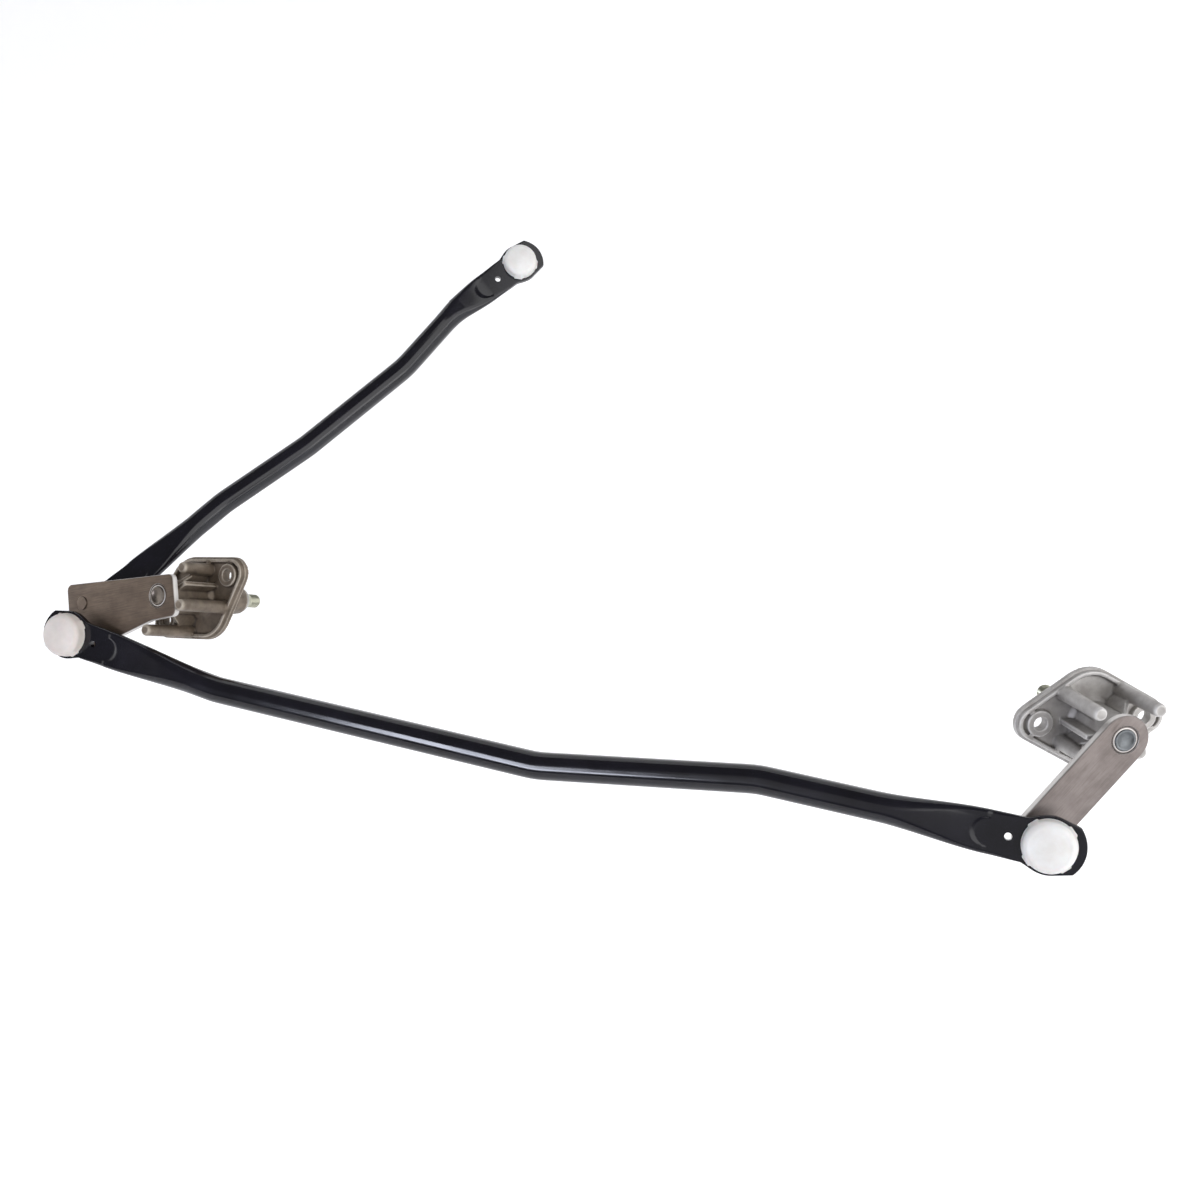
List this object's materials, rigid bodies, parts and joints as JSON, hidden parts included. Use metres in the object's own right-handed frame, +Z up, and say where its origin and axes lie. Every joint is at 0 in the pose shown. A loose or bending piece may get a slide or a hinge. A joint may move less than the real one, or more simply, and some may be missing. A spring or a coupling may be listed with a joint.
{
  "type": "wiper linkage",
  "caption": "Car windscreen wiper linkage: cast pivots with spindles and crank levers, joined by a black tube rod, with a drive rod that takes the wiper motor crank.",
  "frame": {"origin": "on the left spindle axis, in the plane of the left casting's mounting face", "axes": "+Z up as the linkage lies in the picture, lever side up; +X from the left pivot towards the right pivot; +Y towards the motor end"},
  "size_m": [0.5969, 0.4212, 0.0798],
  "materials": {
    "casting": "matte as cast",
    "lever_steel": "zinc-plated, brushed",
    "rod_paint": "black dip coat, satin",
    "socket_plastic": "satin",
    "zinc_yellow": "yellow zinc plate",
    "bright_steel": "bright zinc plate",
    "bronze": "sintered bronze",
    "seal_rubber": "matte"
  },
  "bodies": {
    "left_housing": {"left_pivot_casting": "casting", "left_upper_bush": "bronze", "left_lower_bush": "bronze", "left_shaft_seal": "seal_rubber", "left_thrust_washer": "bright_steel", "left_clip_washer": "bright_steel"},
    "left_crank": {"left_lever": "lever_steel", "left_spindle": "zinc_yellow", "left_retaining_clip": "bright_steel", "left_front_ball_stud": "bright_steel", "left_rear_ball_stud": "bright_steel"},
    "connecting_link": {"connecting_rod": "rod_paint", "connecting_left_socket": "socket_plastic", "connecting_right_socket": "socket_plastic"},
    "right_crank": {"right_lever": "lever_steel", "right_spindle": "zinc_yellow", "right_retaining_clip": "bright_steel", "right_ball_stud": "bright_steel"},
    "right_housing": {"right_pivot_casting": "casting", "right_upper_bush": "bronze", "right_lower_bush": "bronze", "right_shaft_seal": "seal_rubber", "right_thrust_washer": "bright_steel", "right_clip_washer": "bright_steel"},
    "drive_link": {"drive_rod": "rod_paint", "drive_lever_socket": "socket_plastic", "drive_motor_socket": "socket_plastic"}
  },
  "joints": [
    {"name": "left_spindle_turn", "type": "hinge", "parent": "left_housing", "child": "left_crank", "pos_m": [0, 0, 0], "axis": [-0.2864, -0.2811, 0.9159], "range_deg": [-90, 3]},
    {"name": "connecting_rod_turn", "type": "hinge", "parent": "left_crank", "child": "connecting_link", "pos_m": [-0.07021, -0.02391, 0.01973], "axis": [-0.2864, -0.2811, 0.9159], "range_deg": [-60, 5]},
    {"name": "right_lever_turn", "type": "hinge", "parent": "connecting_link", "child": "right_crank", "pos_m": [0.44668, -0.1642, 0.01773], "axis": [0.3309, -0.5581, 0.7609], "range_deg": [-60, 25]},
    {"name": "right_spindle_turn", "type": "hinge", "parent": "right_crank", "child": "right_housing", "pos_m": [0.47365, -0.09931, -0.00541], "axis": [0.3309, -0.5581, 0.7609], "range_deg": [-50, 38]},
    {"name": "drive_rod_turn", "type": "hinge", "parent": "left_crank", "child": "drive_link", "pos_m": [-0.06416, 0.00072, 0.00243], "axis": [-0.2864, -0.2811, 0.9159], "range_deg": [-10, 60]}
  ]
}
